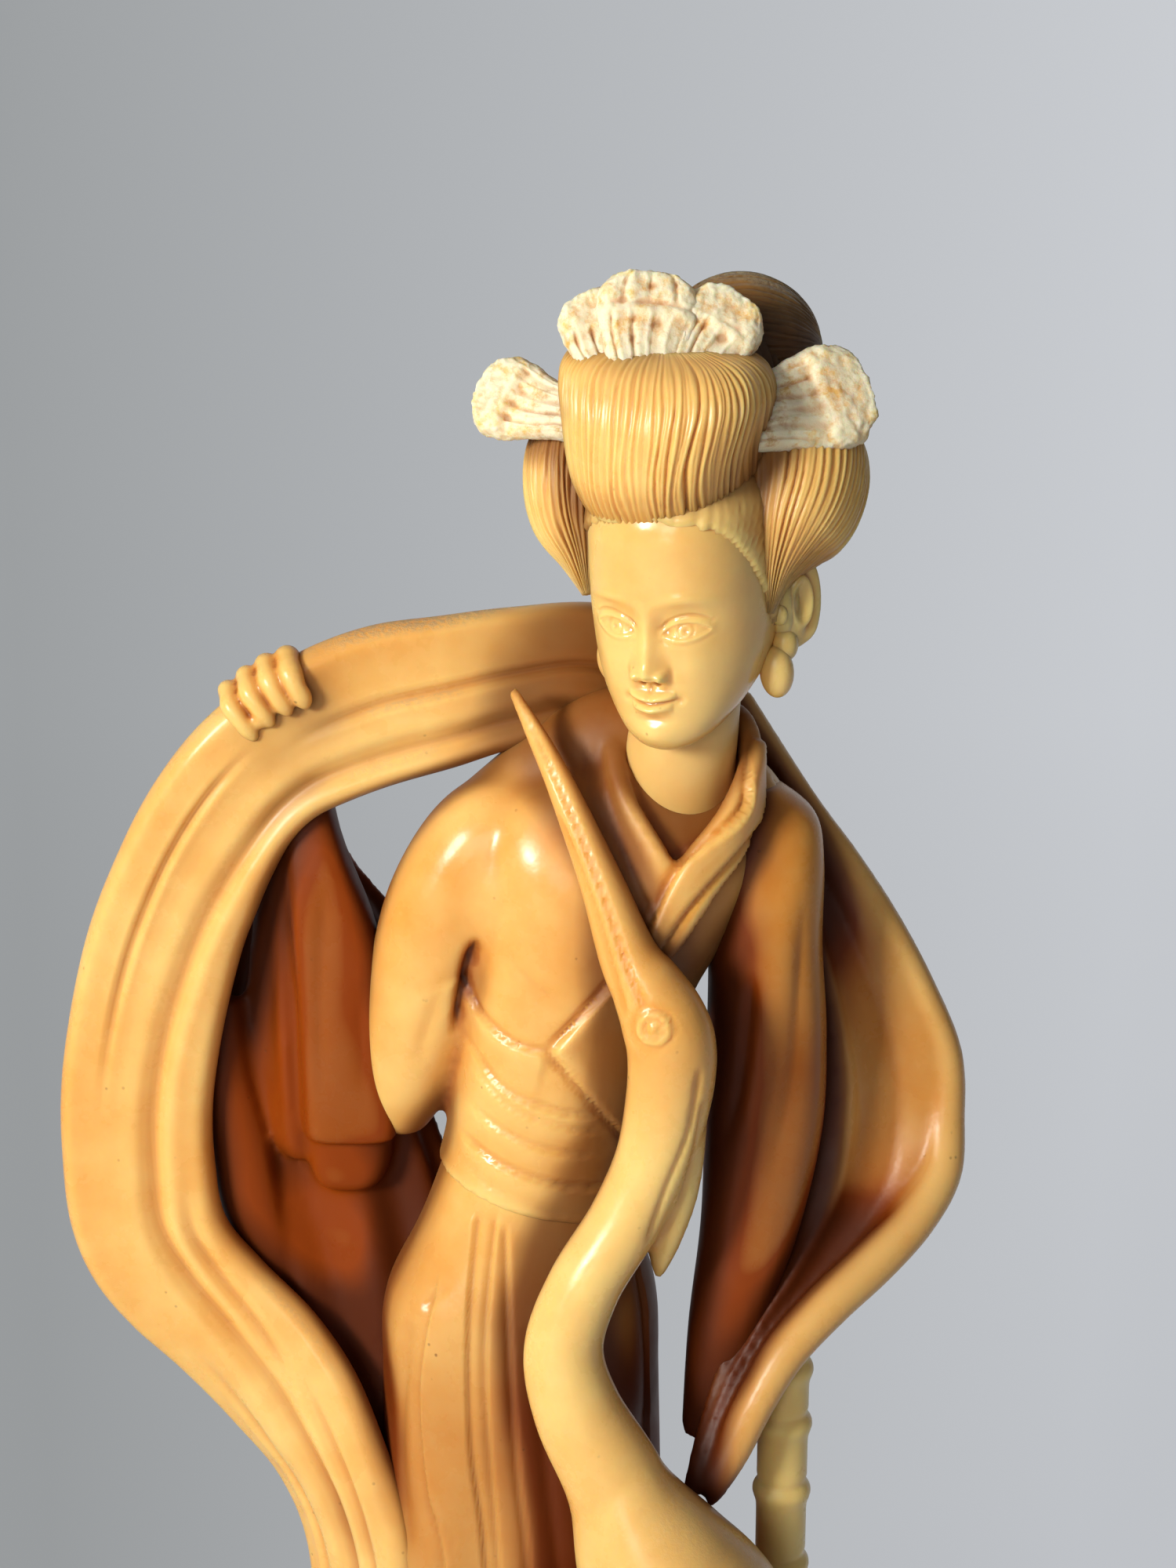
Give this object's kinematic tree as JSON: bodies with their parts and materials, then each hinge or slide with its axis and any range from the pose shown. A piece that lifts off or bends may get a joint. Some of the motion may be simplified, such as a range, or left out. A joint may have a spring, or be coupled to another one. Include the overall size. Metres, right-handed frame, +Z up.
{
  "type": "figurine",
  "caption": "Standing woman in a kimono with tall dressed hair, holding up a long shawl, with a crane at her front and a bamboo stem, cast in one piece with an oval base.",
  "frame": {"origin": "centre of the flat underside of the oval base", "axes": "+Z up through the figure; -Y is the front, where the crane stands; +X is to the viewer's right"},
  "size_m": [0.121, 0.0682, 0.2604],
  "materials": {
    "amber_resin": "polished imitation-ivory casting resin, honey amber, darker in its hollows and chalky cream on the hair combs"
  },
  "bodies": {
    "root": {"figurine": "amber_resin"}
  },
  "joints": []
}
